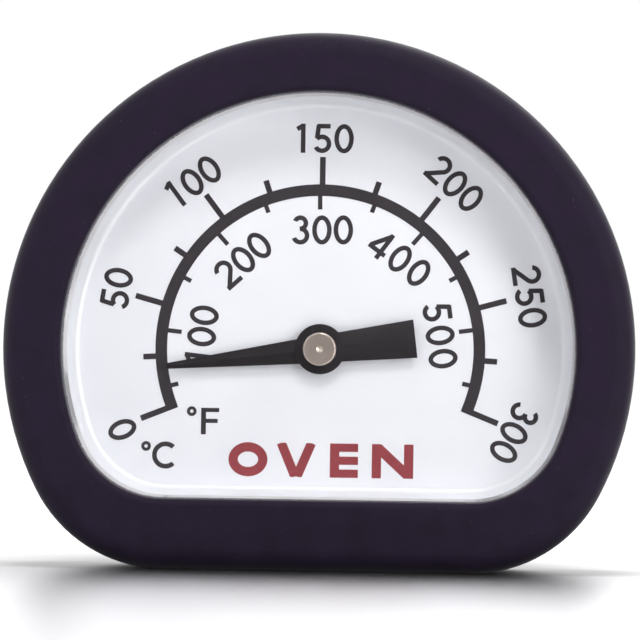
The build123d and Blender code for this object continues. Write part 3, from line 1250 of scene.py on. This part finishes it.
@dataclass
class Pointer:
    """The stamped pointer: a tapered blade and a broad tail with a low crown, and a round boss."""

    plane: DialPlane
    length: float = 16.0
    root_width: float = 2.9
    tip_width: float = 0.6
    tail_length: float = 9.95
    tail_root_width: float = 2.8
    tail_end_width: float = 4.0
    boss_radius: float = 2.6
    crown: float = 0.24
    edge_round: float = 0.05

    def build(self) -> None:
        """Model the pointer along +X about the origin, turn it to its rest angle and install it."""
        low, high = node_box("pointer")
        depth = high.y - low.y
        blade = self.arm(self.length, self.root_width, self.tip_width, depth)
        tail = self.arm(self.tail_length, self.tail_root_width, self.tail_end_width, depth)
        tail.data.transform(Matrix.Rotation(math.pi, 4, "Y"))
        boss = rod(self.boss_radius, -depth, 0)
        piece = combine(combine(boss, blade, "UNION"), tail, "UNION")
        tidy_mesh(piece)
        apply_modifier(
            piece, "BEVEL", width=self.edge_round, segments=2, limit_method="ANGLE", angle_limit=0.9
        )
        shade_smooth(piece, 25)
        seat = Matrix.Translation(self.plane.centre + Vector((0, high.y, 0)))
        piece.data.transform(seat @ self.plane.turned(self.plane.rest_turn))
        install(piece, "pointer_blade", POINTER_PAINT, Body.POINTER, "pointer")

    def arm(self, length: float, root: float, end: float, depth: float) -> Piece:
        """Model one arm from the pivot outwards.

        Args:
            length: Length from the pivot.
            root: Width at the pivot.
            end: Width at the far end.
            depth: Thickness at the crown.

        Returns:
            The arm, its flat back in the plane y = 0.
        """
        made = add_primitive(
            "cube", size=1, location=(length / 2, -depth / 2, 0), scale=(length, depth, root)
        )
        with editing(made) as mesh:
            pick(mesh, made, lambda middle: middle.x > length - 0.01, "faces")
            bpy.ops.transform.resize(value=(1, 1, end / root))
        with editing(made, "SELECT"):
            bpy.ops.mesh.bisect(plane_co=(0, 0, 0), plane_no=(0, 0, 1))
        with editing(made) as mesh:
            pick(mesh, made, lambda spot: spot.y < -depth / 2 and abs(spot.z) > 0.01, "verts")
            bpy.ops.transform.translate(value=(0, self.crown, 0))
        return made


# ---- fixings at the back ----


@dataclass
class ThreadedSleeve:
    """The sleeve round the stem, its flange inside the case and a rolled thread outside."""

    pitch: float = 1.0
    crest: float = 3.0
    root: float = 2.42
    crest_flat: float = 0.14
    root_flat: float = 0.2
    bore: float = 1.85
    flange_radius: float = 5.2
    flange_thickness: float = 1.0
    steps_per_turn: int = 48
    lead_in: float = 0.6

    def build(self) -> None:
        """Model the thread with a screw, close it, bore it and add the flange."""
        low, high = node_box("threaded_sleeve")
        length = high.y - low.y
        shank = self.thread(length + 4 * self.pitch)
        shank.data.transform(Matrix.Translation((0, low.y - 2 * self.pitch, 0)))
        shoulder = low.y + self.flange_thickness / 2
        blank = rod(self.crest + 0.02, shoulder, high.y, self.steps_per_turn)
        with editing(blank) as mesh:
            pick(mesh, blank, lambda middle: middle.y > high.y - 0.01, "faces")
            bpy.ops.mesh.bevel(offset=self.lead_in, segments=1, affect="EDGES")
        combine(shank, blank, "INTERSECT")
        flange = rod(self.flange_radius, low.y, low.y + self.flange_thickness)
        combine(shank, flange, "UNION")
        hole = rod(self.bore, low.y - length / 2, high.y + length / 2, self.steps_per_turn)
        combine(shank, hole, "DIFFERENCE")
        tidy_mesh(shank)
        shade_smooth(shank, 28)
        shank.data.transform(Matrix.Translation(stem_axis()))
        install(shank, "sleeve_with_thread", ZINC_PLATE, Body.CASE, "threaded_sleeve")

    def thread(self, length: float) -> Piece:
        """Model a closed rod with a right-hand thread along +Y, from the origin."""
        flank = (self.pitch - self.crest_flat - self.root_flat) / 2
        profile = add_primitive("plane", size=1)
        heights = (
            (self.root, 0.0),
            (self.root, self.root_flat),
            (self.crest, self.root_flat + flank),
            (self.crest, self.root_flat + flank + self.crest_flat),
            (self.root, self.pitch),
        )
        with editing(profile) as mesh:
            bmesh.ops.delete(mesh, geom=mesh.verts[:], context="VERTS")
            corners = [mesh.verts.new((radius, y, 0)) for radius, y in heights]
            for first, second in zip(corners, corners[1:]):
                mesh.edges.new((first, second))
            bmesh.update_edit_mesh(profile.data)
        apply_modifier(
            profile,
            "SCREW",
            axis="Y",
            angle=2 * math.pi,
            screw_offset=self.pitch,
            iterations=math.ceil(length / self.pitch),
            steps=self.steps_per_turn,
            render_steps=self.steps_per_turn,
            use_merge_vertices=True,
        )
        tidy_mesh(profile)
        ends = ((self.pitch * 1.5, -1), (length - self.pitch * 1.5, 1))
        for y, side in ends:
            with editing(profile, "SELECT"):
                bpy.ops.mesh.bisect(
                    plane_co=(0, y, 0), plane_no=(0, side, 0), use_fill=True, clear_outer=True
                )
        tidy_mesh(profile)
        return profile


@dataclass
class WingNut:
    """The cast wing nut: hub and two wings run into one another, as a die casting does."""

    hub_radius: float = 6.0
    hub_top_radius: float = 5.2
    hub_height: float = 8.0
    span: float = 33.0
    height: float = 17.0
    wing_thickness: float = 2.3
    tip_radius: float = 4.4
    edge_round: float = 0.75
    bore: float = 3.06
    bore_chamfer: float = 0.5
    tilt: float = 20.0
    root_out: float = 3.9
    root_width: float = 1.4
    root_drop: float = 1.0
    voxel: float = 0.2
    soften: int = 7
    skim: float = 0.06

    def build(self) -> None:
        """Unite hub and wings, soften the casting, then machine its bore."""
        low, _ = node_box("wing_nut")
        piece = add_primitive(
            "cone",
            vertices=96,
            radius1=self.hub_radius,
            radius2=self.hub_top_radius,
            depth=self.hub_height,
            location=(0, 0, self.hub_height / 2),
        )
        for side in (-1, 1):
            combine(piece, self.wing(side), "UNION")
        apply_modifier(piece, "REMESH", mode="VOXEL", voxel_size=self.voxel)
        apply_modifier(piece, "SMOOTH", factor=0.5, iterations=self.soften)
        with editing(piece, "SELECT"):
            bpy.ops.mesh.bisect(
                plane_co=(0, 0, self.skim), plane_no=(0, 0, 1), use_fill=True, clear_inner=True
            )
        hole = add_primitive("cylinder", vertices=64, radius=self.bore, depth=4 * self.hub_height)
        combine(piece, hole, "DIFFERENCE")
        wide, narrow = self.bore + self.bore_chamfer, self.bore - 0.1
        for end, below, above in ((self.skim, wide, narrow), (self.hub_height - 0.05, narrow, wide)):
            sink = add_primitive(
                "cone",
                vertices=64,
                radius1=below,
                radius2=above,
                depth=self.bore_chamfer + 0.1,
                location=(0, 0, end),
            )
            combine(piece, sink, "DIFFERENCE")
        tidy_mesh(piece)
        shade_smooth(piece, 35)
        turned = Matrix.Rotation(math.radians(self.tilt), 4, "Y")
        turned = turned @ Matrix.Rotation(-math.pi / 2, 4, "X")
        seat = Vector((0, low.y - self.skim, stem_axis().z))
        piece.data.transform(Matrix.Translation(seat) @ turned)
        install(piece, "wing_nut_casting", CAST_NICKEL, Body.WING_NUT, "wing_nut")

    def wing(self, side: int) -> Piece:
        """Model one wing: a round tip and a broad root, with a web stretched between them.

        Args:
            side: 1 for the wing towards +X, -1 for the other.

        Returns:
            The wing, standing in the XZ plane.
        """
        tip = rod(
            self.tip_radius,
            -self.wing_thickness / 2,
            self.wing_thickness / 2,
            vertices=64,
            spot=(side * (self.span / 2 - self.tip_radius), self.height - self.tip_radius),
        )
        root = add_primitive(
            "cube",
            size=1,
            location=(side * self.root_out, 0, self.hub_height / 2),
            scale=(self.root_width, self.wing_thickness, self.hub_height - self.root_drop),
        )
        made = joined([tip, root])
        with editing(made, "SELECT"):
            bpy.ops.mesh.convex_hull()
        apply_modifier(
            made, "BEVEL", width=self.edge_round, segments=3, limit_method="ANGLE", angle_limit=1.0
        )
        return made


# ---- finishes of the CAD nodes that keep their shape ----

NODE_FINISHES: dict[str, Finish] = {
    "silicone_surround": SURROUND_SILICONE,
    "rear_case": CASE_STEEL,
    "bezel_ring": BEZEL_STEEL,
    "glass_lens": CLEAR_GLASS,
    "lens_gasket": GASKET_SILICONE,
    "dial_plate": DIAL_ENAMEL,
    "pointer_hub": TURNED_BRASS,
    "pointer_cap": CAP_NICKEL,
    "spindle": SPINDLE_STEEL,
    "spindle_collar": TURNED_BRASS,
    "upper_bearing": TURNED_BRASS,
    "lower_bearing": TURNED_BRASS,
    "bimetal_coil": BIMETAL,
    "coil_anchor": SPINDLE_STEEL,
    "stem_tube": STEM_STEEL,
    "stem_tip_plug": STEM_STEEL,
    "case_locknut": ZINC_PLATE,
    "sealing_washer": WASHER_SILICONE,
    "large_washer": ZINC_PLATE,
}


# ---- stage ----


@dataclass
class Studio:
    """Plain pale floor, soft light and the camera."""

    view_width: float = 65.44
    distance: float = 450.0
    elevation: float = -0.7
    azimuth: float = 2.0
    roll: float = 0.85
    aim_right: float = 0.18
    aim_up: float = 2.95
    sensor: float = 36.0
    floor_size: float = 6.0
    front_light: float = 0.1
    back_light: float = 1.3

    def build(self) -> None:
        """Set the floor, the lights, the world and the camera."""
        self.floor()
        self.world()
        self.lights()
        self.camera()
        bpy.context.scene.view_settings.view_transform = "Standard"

    def floor(self) -> None:
        """Lay the white board."""
        floor = add_primitive("plane", size=self.floor_size, location=(0, self.floor_size / 4, 0))
        floor.name = "floor"
        dress(floor, WHITE_BOARD)

    def world(self) -> None:
        """Surround the scene with white, dimmer in front so that dark parts stay dark."""
        world = bpy.data.worlds.new("white_studio")
        world.use_nodes = True
        tree = world.node_tree
        tree.nodes.clear()
        way = add_node(tree, "ShaderNodeTexCoord").outputs["Generated"]
        split = add_node(tree, "ShaderNodeSeparateXYZ", links={"Vector": way})
        strength = add_node(
            tree,
            "ShaderNodeMapRange",
            values={
                "From Min": -0.9,
                "From Max": 1.0,
                "To Min": self.front_light,
                "To Max": self.back_light,
            },
            links={"Value": split.outputs["Y"]},
        )
        sky = add_node(
            tree,
            "ShaderNodeBackground",
            values={"Color": linear("#fefdff")},
            links={"Strength": strength.outputs["Result"]},
        )
        paper = add_node(tree, "ShaderNodeBackground", values={"Color": linear("#ffffff")})
        seen = add_node(tree, "ShaderNodeLightPath").outputs["Is Camera Ray"]
        mixed = add_node(
            tree,
            "ShaderNodeMixShader",
            links={0: seen, 1: sky.outputs[0], 2: paper.outputs[0]},
        )
        add_node(tree, "ShaderNodeOutputWorld", links={"Surface": mixed.outputs[0]})
        bpy.context.scene.world = world

    def lights(self) -> None:
        """Hang the soft lights: one above, one at each side and one behind."""
        self.soft_light("key_above", (0.13, -0.36, 0.5), 0.14, 1.5)
        self.soft_light("side_right", (0.5, -0.6, 0.2), 0.3, 2.1)
        self.soft_light("side_left", (-0.4, -0.5, 0.35), 0.5, 1.25)
        self.soft_light("top_back", (0.2, 0.35, 0.5), 0.5, 2.6)

    def soft_light(
        self, name: str, place: tuple[float, float, float], size: float, power: float
    ) -> None:
        """Hang one square soft box that faces the thermometer.

        Args:
            name: Its name.
            place: Its place in metres.
            size: Its side in metres.
            power: Its power in watts.
        """
        data = bpy.data.lights.new(name, "AREA")
        data.shape = "SQUARE"
        data.size = size
        data.energy = power
        light = bpy.data.objects.new(name, data)
        light.location = place
        aim = Vector((0, 0, 0.02)) - Vector(place)
        light.rotation_euler = aim.to_track_quat("-Z", "Y").to_euler()
        bpy.context.scene.collection.objects.link(light)

    def camera(self) -> None:
        """Look at the dial from the front, a little from the right and a little rolled."""
        low, _ = node_box("silicone_surround")
        rim = Vector((self.aim_right, low.y, stem_axis().z + self.aim_up))
        tilt, aside = math.radians(self.elevation), math.radians(self.azimuth)
        level = math.cos(tilt)
        back = Vector((level * math.sin(aside), -level * math.cos(aside), math.sin(tilt)))
        data = bpy.data.cameras.new("camera")
        data.sensor_width = self.sensor
        data.lens = self.sensor * self.distance / self.view_width
        camera = bpy.data.objects.new("camera", data)
        camera.location = (rim + back * self.distance) * MM
        turn = (-back).to_track_quat("-Z", "Y").to_matrix().to_4x4()
        camera.rotation_euler = (turn @ Matrix.Rotation(math.radians(self.roll), 4, "Z")).to_euler()
        bpy.context.scene.collection.objects.link(camera)
        bpy.context.scene.camera = camera


def main() -> None:
    """Build the thermometer's looks piece by piece, then the stage."""
    logging.basicConfig(level=logging.INFO, format="%(name)s %(message)s")
    for node, finish in NODE_FINISHES.items():
        dress_node(node, finish)
    plane = DialPlane.from_frame()
    DialPrint(plane).build()
    DialRing(plane).build()
    Pointer(plane).build()
    ThreadedSleeve().build()
    WingNut().build()
    Studio().build()


if __name__ == "__main__":
    main()
